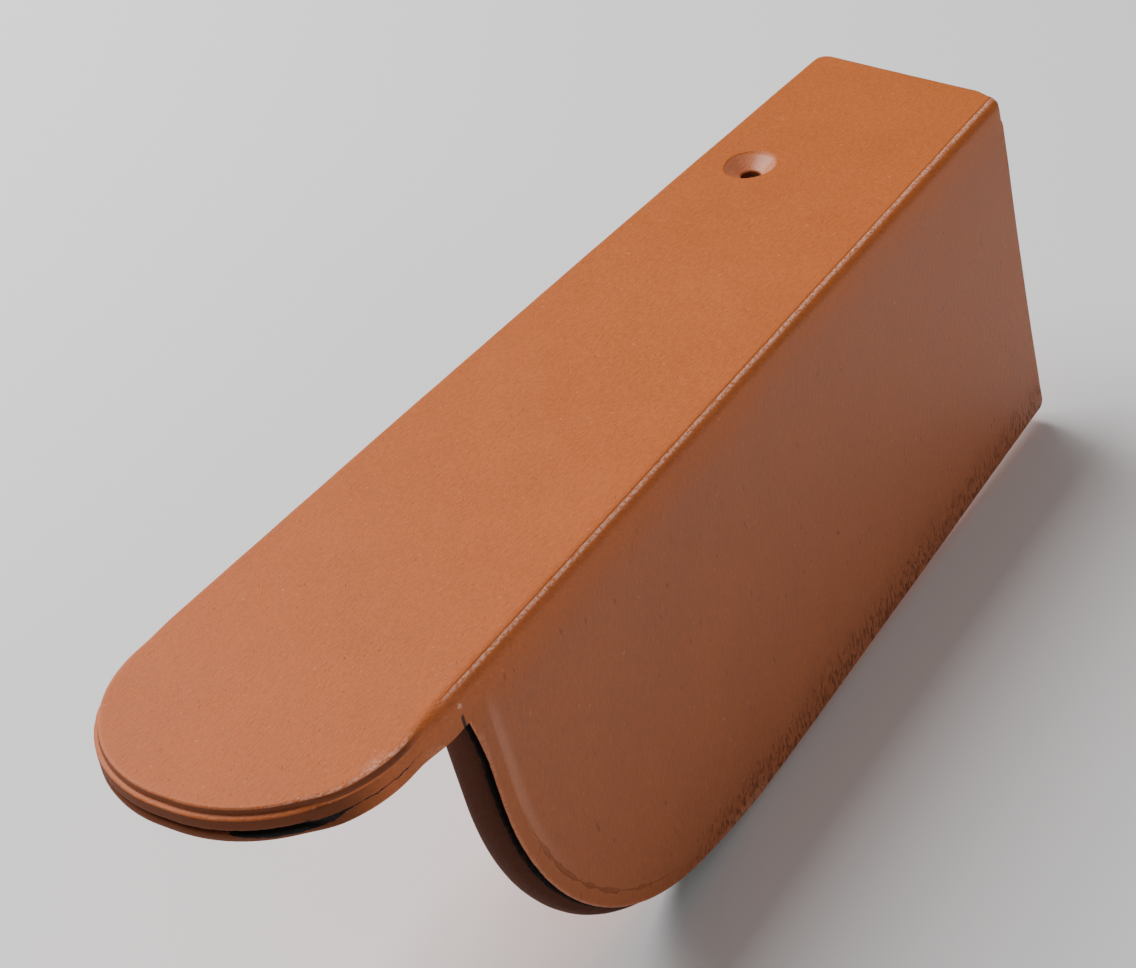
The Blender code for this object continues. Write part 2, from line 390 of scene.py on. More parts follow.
plate_sides = four_sides([
    (-WIDTH_HEAD, HEAD_SKEW + HEAD_LIFT, HEAD_CORNER),
    (-WIDTH_TAIL, -LENGTH, TAIL_FREE_RADIUS),
    (0.0, -LENGTH, TAIL_FOLD_RADIUS),
    (0.0, 3.0 * HEAD_LIFT, FOLD_CORNER),
], PLATE_COUNTS, bow_free_edge)
plate_loop = np.concatenate([side[:-1] for side in plate_sides])
tail_centre = np.array([-TAIL_FOLD_RADIUS, -LENGTH + TAIL_FOLD_RADIUS])
bearing = np.arctan2(plate_loop[:, 0] - tail_centre[0], tail_centre[1] - plate_loop[:, 1])
in_tail = smooth(tail_centre[1] + 16.0, tail_centre[1] + 4.0, plate_loop[:, 1])
step_share = in_tail * smooth(RIM_FADES_AT + RIM_FADE, RIM_FADES_AT, bearing)
step_share *= smooth(-RIM_STARTS_AT - 1.6 * RIM_FADE, -RIM_STARTS_AT + 1.6 * RIM_FADE, bearing)
at_head = plate_loop[:, 1] > -50.0
on_fold_side = np.where(
    at_head, smooth(-9.0, -3.0, plate_loop[:, 0]), smooth(-12.0, -6.0, plate_loop[:, 0]),
)
fold_share = on_fold_side * smooth(FOLD_STARTS - FOLD_BLEND, FOLD_STARTS, plate_loop[:, 1])
band_share = (1.0 - step_share) * in_tail * (1.0 - fold_share)
plain_share = 1.0 - step_share - fold_share - band_share
print("outline of the plate:", len(plate_loop), "points")

# %% [markdown]
# Ripples then fray the torn line and the crisp outer edge of the ledge, and a
# long, shallow swell keeps the top face from looking machined.

# %% Plate
def blend_profiles(axis, *pairs):
    """Mixes profiles round the outline: the sum of each one's line times its share there."""
    return sum(profile[:, axis][:, None] * share[None] for profile, share in pairs)


plate_pairs = (
    (TAIL_PROFILE, step_share), (BAND_PROFILE, band_share),
    (FOLD_PROFILE, fold_share), (PLAIN_PROFILE, plain_share),
)
plate_offsets = blend_profiles(0, *plate_pairs)
plate_drops = blend_profiles(1, *plate_pairs)
line_number = np.arange(LINES)[:, None]
tear = np.exp(-((line_number - 16.5) / 1.8) ** 2)
crumbs = ripple(plate_loop, 3.1, 5)[None] + 0.7 * ripple(plate_loop, 1.5, 6)[None]
plate_drops += tear * crumbs * RAGGED * 1.6 * (step_share + band_share)[None]
plate_offsets -= tear * np.abs(crumbs) * RAGGED * 2.0 * step_share[None]
crisp = np.exp(-((line_number - 9.0) / 1.5) ** 2)
plate_offsets += crisp * ripple(plate_loop, 4.0, 8)[None] * RAGGED * 0.6 * step_share[None]

flat, drop, faces = slab(plate_sides, plate_offsets, plate_drops)
swell = 0.07 * ripple(flat, 70.0, 11) + 0.03 * ripple(flat, 17.0, 12)
plate_points = np.column_stack([flat, -drop + swell * smooth(THICKNESS, 0.0, drop)])
plate = make_mesh("plate", plate_points + FOLD_TO_ORIGIN, faces)

# %% [markdown]
# The flange is a second slab, drawn in its own plane and then leaned out. Its
# front edge was torn from the mould's parting line, so a ragged gap runs just
# inside its outer rim, and the material paints it black as shade. Its outline
# is a leaning front, a round nose, a straight lower edge and a head edge that
# drying has hollowed.

# %% Outline of the flange and its torn profile
TEAR_PROFILE = np.array([
    (-2.40, 0.00), (-1.60, 0.02), (-1.12, 0.10), (-0.94, 0.32), (-0.90, 0.75), (-1.00, 1.02),
    (-1.70, 1.20), (-3.10, 1.45), (-3.50, 2.05), (-2.80, 2.70), (-1.30, 2.95), (-1.05, 3.15),
    (-1.20, 3.35), (-1.55, 3.60), (-1.50, 3.95), (-0.85, 4.30), (-0.30, 4.75), (-0.04, 5.30),
    (0.02, 6.20), (0.02, 7.40), (-0.06, 8.60), (-0.35, 9.70), (-1.05, 10.5), (-2.20, 10.8),
])
FLANGE_LINES = len(TEAR_PROFILE)
FLANGE_COUNTS = (66, 190, 66, 190)
MARGIN_WIDTH = 7.6
MARGIN_SLOPE = 1.3
MARGIN_STEP = 0.42
FRONT_SLANT = 2.4

plain_flange = arris_profile(1.0, 1.4)
keep = np.linspace(0.0, LINES - 1.0, FLANGE_LINES)
plain_flange = np.stack([
    np.interp(keep, np.arange(LINES), plain_flange[:, axis]) for axis in range(2)
], 1)

front_top = -LENGTH + SETBACK
front_low = front_top + NOSE_RAKE


def flange_depth(y):
    """Depth of the lower edge at a distance from the head."""
    return DEPTH_HEAD - (DEPTH_TAIL - DEPTH_HEAD) * y / LENGTH


def shape_head_edge(path):
    """Moves the head edge by a cube of the depth share, a square of its rest, less a rounded top."""
    near_head = smooth(-14.0, -3.0, path[:, 0])
    share = np.clip(path[:, 1] / DEPTH_HEAD, 0.0, 1.0)
    top = HEAD_ROUND * (1.0 - smooth(3.0, 9.5, path[:, 1]))
    bent = path.copy()
    bent[:, 0] += near_head * (HEAD_FLARE * share ** 3 + HEAD_TOP * (1.0 - share) ** 2 - top)
    return bent


flange_sides = four_sides([
    (front_top - 0.3, FLANGE_TOP, 1.5),
    (-0.4, FLANGE_TOP, 1.0),
    (0.0, flange_depth(0.0), 3.2),
    (front_low, flange_depth(front_low), NOSE_RADIUS),
], (FLANGE_COUNTS[1], FLANGE_COUNTS[0], FLANGE_COUNTS[1], FLANGE_COUNTS[0]), shape_head_edge)
flange_loop = np.concatenate([side[:-1] for side in flange_sides])
loop_y, loop_depth = flange_loop.T
nose_centre_y = front_low + NOSE_RADIUS
print("outline of the flange:", len(flange_loop), "points")

# %% [markdown]
# Only the front and the nose carry the torn profile, and the rest of the edge
# is square. The front also slants: the mould's draft sets the outer rim back
# from the inner one, so that the torn band shows from the side.

# %% Rim of the flange
front_share = smooth(nose_centre_y + 22.0, nose_centre_y - 18.0, loop_y)
torn = (TEAR_PROFILE, front_share)
square = (plain_flange, 1.0 - front_share)
flange_offsets = blend_profiles(0, torn, square)
flange_drops = blend_profiles(1, torn, square)
flange_line = np.arange(FLANGE_LINES)[:, None]
shred = ripple(flange_loop, 2.6, 21) + 0.8 * ripple(flange_loop, 1.3, 22)
slant_share = front_share * smooth(6.0, 26.0, loop_depth)
flange_offsets -= FRONT_SLANT * smooth(8.0, 0.5, flange_drops) * slant_share[None]
rim_line = np.exp(-((flange_line - 4.5) / 1.3) ** 2)
gap_line = np.exp(-((flange_line - 8.0) / 2.0) ** 2)
flange_offsets -= rim_line * np.abs(shred)[None] * 0.16 * front_share[None]
flange_drops += gap_line * shred[None] * 0.22 * front_share[None]
low_edge = smooth(8.0, 2.0, flange_depth(loop_y) - loop_depth) * (1.0 - front_share)
flange_offsets -= rim_line * np.abs(ripple(flange_loop, 5.0, 25))[None] * 0.35 * low_edge[None]

flat, drop, faces = slab(flange_sides, flange_offsets, flange_drops)
along, depth = flat.T
print("torn rim:", int((front_share > 0.5).sum()), "points of the outline")

# %% [markdown]
# Inside a margin along the front, the outer face stands a little higher, so
# the margin is sunk by its distance from the front edge. The inner face
# swells into a fillet where it meets the plate: the drop grows as the
# quarter circle does.

# %% Flange
def distance_to_front(along, depth):
    """Distance inside the front edge and the nose: straight beside them, radial about the nose."""
    top = np.array([front_top, 0.0])
    nose = np.array([front_low, flange_depth(front_low)])
    head = np.array([0.0, flange_depth(0.0)])
    to_head, to_top, _, centre = corner_centre(head, nose, top, NOSE_RADIUS)
    place = np.stack([along, depth], -1)
    radial = NOSE_RADIUS - np.linalg.norm(place - centre, axis=-1)
    from_front = (place - nose) @ np.array([-to_top[1], to_top[0]])
    from_low = (place - nose) @ np.array([to_head[1], -to_head[0]])
    in_front = (place - centre) @ to_top >= 0.0
    in_low = (place - centre) @ to_head >= 0.0
    return np.where(in_front, from_front, np.where(in_low, from_low, radial))


inside = distance_to_front(along, depth)
outer = smooth(3.0, 0.0, drop)
fade_low = smooth(nose_centre_y + 60.0, nose_centre_y + 5.0, along)
margin = 1.0 - smooth(MARGIN_WIDTH - MARGIN_SLOPE, MARGIN_WIDTH + MARGIN_SLOPE, inside)
sunk = MARGIN_STEP * margin * fade_low * outer * smooth(8.0, 20.0, depth)
wave = 0.09 * ripple(flat, 90.0, 31) + 0.03 * ripple(flat, 21.0, 32)
fillet_depth = np.clip(FILLET_RADIUS - (depth - THICKNESS), 0.0, FILLET_RADIUS)
fillet = FILLET_RADIUS - np.sqrt(FILLET_RADIUS ** 2 - fillet_depth ** 2)
drop = drop + sunk + wave * outer * smooth(10.0, 24.0, depth)
drop = drop + fillet * smooth(5.5, THICKNESS, drop)
down = np.array([math.sin(LEAN), 0.0, -math.cos(LEAN)])
inward = np.array([-math.cos(LEAN), 0.0, -math.sin(LEAN)])
flange_points = (
    along[:, None] * np.array([0.0, 1.0, 0.0]) + depth[:, None] * down + drop[:, None] * inward
)
flange = make_mesh("flange", flange_points + FOLD_TO_ORIGIN, faces)

# %% [markdown]
# Under the head sits a plain nib that hooks over the batten. The photograph
# doesn't show it, so it is a small rounded block of the same clay, made with
# the same slab function and tapered towards its tip.

# %% Nib
NIB_WIDTH = 26.0
NIB_LENGTH = 16.0
NIB_HEIGHT = 12.0
NIB_SLOPE = 5.0
NIB_FROM_HEAD = 10.0
NIB_FROM_FOLD = 35.0
NIB_CORNER = 2.5
NIB_STARTS = 7.0
NIB_TIP_ROUND = 2.0
NIB_COUNTS = (24, 16, 24, 16)

nib_left = -NIB_FROM_FOLD - NIB_WIDTH / 2.0
nib_sides = four_sides([
    (nib_left, -NIB_FROM_HEAD, NIB_CORNER),
    (nib_left, -NIB_FROM_HEAD - NIB_LENGTH, NIB_CORNER),
    (nib_left + NIB_WIDTH, -NIB_FROM_HEAD - NIB_LENGTH, NIB_CORNER),
    (nib_left + NIB_WIDTH, -NIB_FROM_HEAD, NIB_CORNER),
], (NIB_COUNTS[1], NIB_COUNTS[0], NIB_COUNTS[1], NIB_COUNTS[0]))
nib_around = sum(len(side) - 1 for side in nib_sides)
quarter = np.linspace(0.0, math.pi / 2.0, 6)[1:]
nib_wall = np.linspace(NIB_STARTS, THICKNESS + NIB_HEIGHT - NIB_TIP_ROUND, 14)
nib_drop = np.r_[nib_wall, nib_wall[-1] + NIB_TIP_ROUND * np.sin(quarter)]
nib_inset = np.r_[np.zeros(14), NIB_TIP_ROUND * (np.cos(quarter) - 1.0)]
flat, drop, faces = slab(
    nib_sides,
    np.repeat(nib_inset[:, None], nib_around, 1),
    np.repeat(nib_drop[:, None], nib_around, 1),
)
back_share = np.clip((flat[:, 1] + NIB_FROM_HEAD + NIB_LENGTH) / NIB_LENGTH, 0.0, 1.0)
flat[:, 1] -= NIB_SLOPE * back_share * np.clip((drop - THICKNESS) / NIB_HEIGHT, 0.0, 1.0)
nib = make_mesh("nib", np.column_stack([flat, -drop]) + FOLD_TO_ORIGIN, faces)

# %% [markdown]
# The nail hole is drilled through a shallow cone. Its cutter is a profile
# turned about the hole's axis: a small chamfer where the slip gathers at the
# rim, the cone, a slight lip, and the shaft. The photograph suggests a cone
# that is a little longer along the tile than across.

# %% Nail hole cutter
HOLE_X = -54.0
HOLE_Y = -64.4
HOLE_PROFILE = np.array([
    (8.8, 0.9), (7.95, 0.03), (7.70, -0.15), (6.95, -0.78), (5.7, -1.82), (4.5, -2.82),
    (3.65, -3.52), (3.25, -3.8), (3.08, -4.2), (3.0, -7.0), (3.0, -9.3), (3.3, -10.1), (4.1, -11.2),
])
HOLE_SIDES = 72
SINK_OVAL = 1.15


def turned(profile, sides, centre):
    """Points at (radius cos a, radius sin a, height) for a full turn of a, with capped ends."""
    angle = np.linspace(0.0, 2.0 * math.pi, sides, endpoint=False)
    wobble = 1.0 + 0.012 * np.sin(3.0 * angle + 0.6)
    ring = np.stack([np.cos(angle), np.sin(angle)], 1) * wobble[:, None]
    xy = profile[:, 0][:, None, None] * ring[None]
    xy[:, :, 1] *= 1.0 + (SINK_OVAL - 1.0) * smooth(3.2, 6.0, profile[:, 0])[:, None]
    z = np.repeat(profile[:, 1][:, None, None], sides, 1)
    body = np.concatenate([xy, z], 2).reshape(-1, 3) + centre
    ends = np.array([(0.0, 0.0, profile[0, 1]), (0.0, 0.0, profile[-1, 1])]) + centre
    number = np.arange(len(profile) * sides).reshape(len(profile), sides)
    number = np.concatenate([number, number[:, :1]], 1)
    top = np.full(sides, len(body))
    quads = grid_faces(number).tolist()
    quads += np.stack([top, number[0, :-1], number[0, 1:]], 1).tolist()
    quads += np.stack([top + 1, number[-1, 1:], number[-1, :-1]], 1).tolist()
    return np.concatenate([body, ends]), quads


points, quads = turned(HOLE_PROFILE, HOLE_SIDES, np.array([HOLE_X, HOLE_Y, 0.0]))
drill = bpy.data.meshes.new("drill")
drill.from_pydata(((points + FOLD_TO_ORIGIN) * MM).tolist(), [], quads)
drill_work = bmesh.new()
drill_work.from_mesh(drill)
bmesh.ops.recalc_face_normals(drill_work, faces=drill_work.faces)
drill_work.to_mesh(drill)
drill_work.free()
drill = bpy.data.objects.new("drill", drill)
bpy.context.scene.collection.objects.link(drill)
print("drill:", len(quads), "faces")

# %% [markdown]
# The clay is one piece, so the slabs are joined by Boolean modifiers and the
# result is kept as one closed mesh. Their surfaces cross at a slight angle,
# never face to face, which is what the solver needs for a clean seam. Points
# that the solver left twice at a seam are then welded, so the clay is closed.

# %% Join the clay into one piece
def combine(base, tools, name):
    """One mesh from a base and (object, operation) pairs; the helpers are removed."""
    for tool, operation in tools:
        step = base.modifiers.new(tool.name, "BOOLEAN")
        step.operation = operation
        step.object = tool
        step.solver = "EXACT"
    bpy.context.view_layer.update()
    evaluated = base.evaluated_get(bpy.context.evaluated_depsgraph_get())
    mesh = bpy.data.meshes.new_from_object(evaluated)
    mesh.name = name
    for helper in [base] + [tool for tool, _ in tools]:
        bpy.data.objects.remove(helper, do_unlink=True)
    joined = bpy.data.objects.new(name, mesh)
    bpy.context.scene.collection.objects.link(joined)
    return joined


tile = combine(
    plate, [(flange, "UNION"), (nib, "UNION"), (drill, "DIFFERENCE")], "clay_verge_tile",
)
WELD = 0.001 * MM
closed = bmesh.new()
closed.from_mesh(tile.data)
bmesh.ops.remove_doubles(closed, verts=closed.verts, dist=WELD)
open_edges = sum(1 for edge in closed.edges if not edge.is_manifold)
triangles = sum(len(face.verts) - 2 for face in closed.faces)
closed.to_mesh(tile.data)
closed.free()
SHARP = math.radians(48.0)
tile.data.shade_smooth()
tile.data.set_sharp_from_angle(angle=SHARP)
print("tile:", triangles, "triangles,", open_edges, "open edges")

# %% [markdown]
# The finish follows the form: the torn rims are bare and dark, with painted
# shade laid on them, the fold carries a painted highlight, and dirt sits near
# the lower edge. Each point therefore keeps a few distances, measured here
# once, that the material reads as attributes.

# %% Distances kept for the material
count = len(tile.data.vertices)
places = np.empty(count * 3)
tile.data.vertices.foreach_get("co", places)
places = places.reshape(count, 3) / MM - FOLD_TO_ORIGIN
behind = places @ inward
depth = places @ down
front = distance_to_front(places[:, 1], depth)
low = flange_depth(places[:, 1]) - depth
is_flange = smooth(6.0, 9.5, depth) * smooth(13.0, 11.0, behind)
bearing = np.arctan2(places[:, 0] - tail_centre[0], tail_centre[1] - places[:, 1])
is_tail = smooth(tail_centre[1] + 9.0, tail_centre[1] - 3.0, places[:, 1])
is_tail *= smooth(math.radians(106.0), math.radians(88.0), bearing)
nearest_centre = np.clip(places[:, 0], TAIL_FREE_RADIUS - WIDTH_TAIL + 2.0, tail_centre[0])
from_centre = np.hypot(places[:, 0] - nearest_centre, places[:, 1] - tail_centre[1])
is_tail *= smooth(4.5, 3.0, TAIL_FOLD_RADIUS - from_centre)

for name, values in (
    ("behind", behind), ("front", front), ("low", low), ("flange", is_flange), ("tail", is_tail),
):
    kept = tile.data.attributes.new(name, "FLOAT", "POINT")
    kept.data.foreach_set("value", values.astype(np.float32))

# %% [markdown]
# Shader graphs stay readable when each effect is a small group with named
# sockets. A helper makes the nodes and links them in one call, so that the
# code below reads like the graph from left to right.

# %% Node helpers
def add(tree, kind, operation=None, outlet=0, settings=None, **inputs):
    """Adds a node, fills or links its inputs by name or number, and returns one output."""
    node = tree.nodes.new(kind)
    if operation is not None:
        node.operation = operation
    for key, value in (settings or {}).items():
        setattr(node, key, value)
    for key, value in inputs.items():
        socket = node.inputs[int(key[1:])] if key[1:].isdigit() else node.inputs[key.replace("_", " ")]
        if isinstance(value, bpy.types.NodeSocket):
            tree.links.new(value, socket)
        else:
            socket.default_value = value
    return node.outputs[outlet]


def new_group(name, inputs, outputs):
    """A shader node group with float or vector inputs and float outputs."""
    tree = bpy.data.node_groups.new(name, "ShaderNodeTree")
    for label, kind, value in inputs:
        socket = tree.interface.new_socket(name=label, in_out="INPUT", socket_type=kind)
        if value is not None:
            socket.default_value = value
    for label in outputs:
        tree.interface.new_socket(name=label, in_out="OUTPUT", socket_type="NodeSocketFloat")
    return tree, tree.nodes.new("NodeGroupInput").outputs, tree.nodes.new("NodeGroupOutput").inputs


def use(tree, group, **inputs):
    """Places a group in a tree, with its inputs given by name, and returns its outputs."""
    node = tree.nodes.new("ShaderNodeGroup")
    node.node_tree = group
    for key, value in inputs.items():
        socket = node.inputs[key.replace("_", " ")]
        if isinstance(value, bpy.types.NodeSocket):
            tree.links.new(value, socket)
        else:
            socket.default_value = value
    return node.outputs


FLOAT = "NodeSocketFloat"
VECTOR = "NodeSocketVector"


def ranged(tree, value, low, high, to_low=0.0, to_high=1.0):
    """Soft step of a value between two limits."""
    return add(
        tree, "ShaderNodeMapRange", settings={"interpolation_type": "SMOOTHSTEP"},
        Value=value, From_Min=low, From_Max=high, To_Min=to_low, To_Max=to_high,
    )


def maths(tree, operation, first, second=0.0):
    """A math node."""
    return add(tree, "ShaderNodeMath", operation, _0=first, _1=second)


# %% [markdown]
# The slip was brushed or poured on wet. It dried with a fine grain, short
# slanting dashes from the drag of the mould cloth and pale specks of grog,
# which one group gives for both leaves.

# %% Group: grain of the slip
grain_group, given, result = new_group(
    "slip_grain", [("Place", VECTOR, None), ("Upright", FLOAT, 0.0)],
    ["Grain", "Specks", "Pits", "Height"],
)
t = grain_group
slanted = add(
    t, "ShaderNodeVectorRotate", settings={"rotation_type": "EULER_XYZ"},
    Vector=given["Place"], Rotation=(0.12, 0.0, 0.30),
)
along_tile = add(t, "ShaderNodeVectorMath", "MULTIPLY", _0=slanted, _1=(1900.0, 520.0, 900.0))
down_tile = add(t, "ShaderNodeVectorMath", "MULTIPLY", _0=slanted, _1=(900.0, 1700.0, 380.0))
flat_dash = add(t, "ShaderNodeTexNoise", Vector=along_tile, Scale=1.0, Detail=2.0, Roughness=0.55)
steep_dash = add(t, "ShaderNodeTexNoise", Vector=down_tile, Scale=1.0, Detail=2.0, Roughness=0.55)
dashes = add(
    t, "ShaderNodeMix", settings={"data_type": "FLOAT"}, _0=given["Upright"], _2=flat_dash, _3=steep_dash,
)
fine = add(t, "ShaderNodeTexNoise", Vector=given["Place"], Scale=1900.0, Detail=3.0, Roughness=0.6)
cloud = add(t, "ShaderNodeTexNoise", Vector=given["Place"], Scale=38.0, Detail=4.0, Roughness=0.55)
both = maths(t, "ADD", maths(t, "MULTIPLY", dashes, 0.5), maths(t, "MULTIPLY", fine, 0.3))
grain = maths(t, "ADD", both, maths(t, "MULTIPLY", cloud, 0.2))
t.links.new(grain, result["Grain"])
speck = add(t, "ShaderNodeTexNoise", Vector=given["Place"], Scale=720.0, Detail=1.0)
t.links.new(ranged(t, speck, 0.71, 0.80), result["Specks"])
pit_place = add(t, "ShaderNodeVectorMath", "MULTIPLY", _0=given["Place"], _1=(700.0, 700.0, 260.0))
pit = add(t, "ShaderNodeTexNoise", Vector=pit_place, Scale=1.0, Detail=1.0)
pits = ranged(t, pit, 0.71, 0.79)
t.links.new(pits, result["Pits"])
t.links.new(maths(t, "SUBTRACT", grain, maths(t, "MULTIPLY", pits, 0.35)), result["Height"])

# %% [markdown]
# A torn line is a band of a distance whose centre wanders with noise. The
# same group draws the tear under the plate's rim and the gap behind the
# flange's rim, both painted black as shade, and the dark line that borders
# its margin.

# %% Group: ragged line
line_group, given, result = new_group(
    "ragged_line",
    [("Distance", FLOAT, 0.0), ("Centre", FLOAT, 0.0), ("Width", FLOAT, 0.3),
     ("Wander", FLOAT, 0.2), ("Broken", FLOAT, 0.0), ("Place", VECTOR, None)],
    ["Mask"],
)
t = line_group
rough = add(t, "ShaderNodeTexNoise", Vector=given["Place"], Scale=420.0, Detail=4.0, Roughness=0.65)
shift = maths(t, "MULTIPLY", maths(t, "SUBTRACT", rough, 0.5), maths(t, "MULTIPLY", given["Wander"], 4.0))
away = maths(t, "SUBTRACT", maths(t, "ADD", given["Distance"], shift), given["Centre"])
gaps = add(t, "ShaderNodeTexNoise", Vector=given["Place"], Scale=170.0, Detail=2.0)
thin = maths(t, "MULTIPLY", ranged(t, gaps, 0.35, 0.62), given["Broken"])
width = maths(t, "MULTIPLY", given["Width"], maths(t, "SUBTRACT", 1.0, thin))
near = maths(t, "DIVIDE", maths(t, "ABSOLUTE", away), maths(t, "MAXIMUM", width, 0.001))
t.links.new(ranged(t, near, 1.15, 0.75), result["Mask"])

# %% [markdown]
# The clay's colour runs from a stronger orange at the head to a paler one
# at the tail, a painted sheen, and is browner on the flange. Broken and torn
# places show the bare purple-brown body, laid on dark enough that it also
# paints the shade on these edges, and deep cracks are painted black as shade.
# The pale colour serves for grog specks, the burr and the cone, and for painted
# highlights; a deeper red serves for marks in the slip and for painted shade
# at the margin's edge.

# %% Colours of the clay
HEAD_COLOUR = (0.53, 0.133, 0.0275, 1.0)
# Paler than the head: a painted sheen towards the tail.
TAIL_SHEEN_COLOUR = (0.55, 0.137, 0.035, 1.0)
FLANGE_COLOUR = (0.47, 0.142, 0.056, 1.0)
# The bare body, dark enough to carry painted shade as well.
BODY_AND_SHADE_COLOUR = (0.08, 0.022, 0.009, 1.0)
# Deeper red: marks in the slip, and painted shade at the margin's edge.
DEEP_RED_AND_SHADE_COLOUR = (0.26, 0.062, 0.012, 1.0)
# Pale: grog specks, the burr and the cone, and painted highlights.
PALE_AND_HIGHLIGHT_COLOUR = (0.85, 0.42, 0.29, 1.0)
MARGIN_COLOUR = (0.42, 0.105, 0.018, 1.0)
# Near black: painted shade deep in cracks and seams.
CRACK_SHADE_COLOUR = (0.004, 0.002, 0.0015, 1.0)

# %% [markdown]
# The material first reads where it is: the place on the tile in metres, and
# the distances kept on the mesh in millimetres. A mask is a soft step up and
# a soft step down of one of them, masks are combined by multiplying, and each
# one lays a colour over what is there already. The shader itself stays in
# the material.

# %% Clay material: what it reads
TOP_FACE = 0.010
TO_MM = 1000.0

clay = bpy.data.materials.new("fired_clay")
clay.use_nodes = True
t = clay.node_tree
shader = t.nodes["Principled BSDF"]
place = add(t, "ShaderNodeTexCoord", outlet=3)
split = t.nodes.new("ShaderNodeSeparateXYZ")
t.links.new(place, split.inputs[0])
x, y, z = split.outputs
drop = maths(t, "MULTIPLY", maths(t, "SUBTRACT", TOP_FACE, z), TO_MM)


def stored(name):
    """A distance kept on the mesh."""
    return add(t, "ShaderNodeAttribute", outlet=2, settings={"attribute_name": name})


def mix(share, first, second, blend="MIX"):
    """Mixes two colours by a mask: first where it is 0, second where it is 1."""
    node = t.nodes.new("ShaderNodeMix")
    node.data_type = "RGBA"
    node.blend_type = blend
    for socket, value in zip((node.inputs[0], node.inputs[6], node.inputs[7]), (share, first, second)):
        if isinstance(value, bpy.types.NodeSocket):
            t.links.new(value, socket)
        else:
            socket.default_value = value
    return node.outputs[2]


def times(*masks):
    """Product of two or more masks."""
    product = masks[0]
    for mask in masks[1:]:
        product = maths(t, "MULTIPLY", product, mask)
    return product


def between(value, rise, fall):
    """Mask that rises softly over one range of a value and falls over a later one."""
    return times(ranged(t, value, *rise), ranged(t, value, fall[1], fall[0]))


behind, front, low = stored("behind"), stored("front"), stored("low")
flange_mask, tail_mask = stored("flange"), stored("tail")
outer_face = times(ranged(t, behind, 0.9, 0.45), flange_mask)
print("clay reads its place and 5 kept values")

# %% [markdown]
# The grain lightens and darkens the slip a little, and a painted sheen makes
# the colour paler towards the tail. Where the plate turns into the flange, the
# colour changes with the distance behind the outer face and with the height,
# so that no edge shows.

# %% Colour of the slip
SPECK_SHARE = 0.22
PIT_SHARE = 0.35
SHADE_DARK = 0.86
SHADE_LIGHT = 1.12

grain = use(t, grain_group, Place=place, Upright=outer_face)
# Painted sheen: the colour turns paler from the head towards the tail.
along = add(t, "ShaderNodeMapRange", Value=y, From_Min=0.03, From_Max=-0.27)
colour = mix(along, HEAD_COLOUR, TAIL_SHEEN_COLOUR)
outward_side = times(ranged(t, behind, 1.6, 0.5), ranged(t, z, 0.008, -0.008))
colour = mix(outward_side, colour, FLANGE_COLOUR)
shade = ranged(t, grain["Grain"], 0.32, 0.68, SHADE_DARK, SHADE_LIGHT)
shade_colour = add(t, "ShaderNodeCombineColor", Red=shade, Green=shade, Blue=shade)
colour = mix(1.0, colour, shade_colour, "MULTIPLY")
colour = mix(times(grain["Specks"], SPECK_SHARE), colour, PALE_AND_HIGHLIGHT_COLOUR)
colour = mix(times(grain["Pits"], outer_face, PIT_SHARE), colour, BODY_AND_SHADE_COLOUR)
print("clay nodes so far:", len(t.nodes))

# %% [markdown]
# Under the ledge of the plate's tail, and all along the flange's front edge,
# the slip is missing and the darker body shows; it is laid on dark enough that
# it also paints the shade on these edges, which face down and forward. Near
# the fold the slip runs over the tail's edge, so the body fades there. The
# flange's mask reaches the plate's tail as well, so it is cut off in front of
# the flange. The riser of the step under the tail's top arris is painted dark
# as shade.

# %% Bare edges and painted shade
BARE_AND_SHADE_DROP = ((2.25, 2.7), (10.2, 10.6))
BARE_AND_SHADE_SHARE = 0.8
RISER_DROP = ((0.35, 0.6), (1.8, 2.0))
RISER_SHADE_SHARE = 0.7
BARE_AND_SHADE_BEHIND = ((0.9, 1.3), (9.9, 10.6))
FRONT_REACH = ((-2.0, -0.6), (6.5, 8.0))
SLIP_OVER_EDGE = 0.85

fold_end = times(ranged(t, y, -0.307, -0.291), ranged(t, x, 0.0, 0.015))
not_covered = maths(t, "SUBTRACT", 1.0, times(fold_end, SLIP_OVER_EDGE))
bare_tail_and_shade = times(between(drop, *BARE_AND_SHADE_DROP), tail_mask, not_covered)
front_zone = times(between(front, *FRONT_REACH), flange_mask, ranged(t, y, -0.150, -0.195))
bare_front_and_shade = times(between(behind, *BARE_AND_SHADE_BEHIND), front_zone)
# The bare body, laid on dark so that it also paints the shade on these edges.
colour = mix(maths(t, "MAXIMUM", times(bare_tail_and_shade, BARE_AND_SHADE_SHARE), bare_front_and_shade), colour, BODY_AND_SHADE_COLOUR)
# Painted shade on the riser of the step, in the body colour.
riser_shade = times(between(drop, *RISER_DROP), tail_mask)
colour = mix(times(riser_shade, RISER_SHADE_SHARE), colour, BODY_AND_SHADE_COLOUR)

# %% [markdown]
# The tear is painted black, as the shade deep inside it. Under the tail it is
# widest on the side of the flange and sinks as it widens. On the flange's
# front it runs just behind the outer rim.

# %% Black tears, painted as shade
TEAR_DROP = 5.85
TEAR_SINKS = 0.55
GAP_BEHIND = 2.1
GAP_WIDTH = 1.15

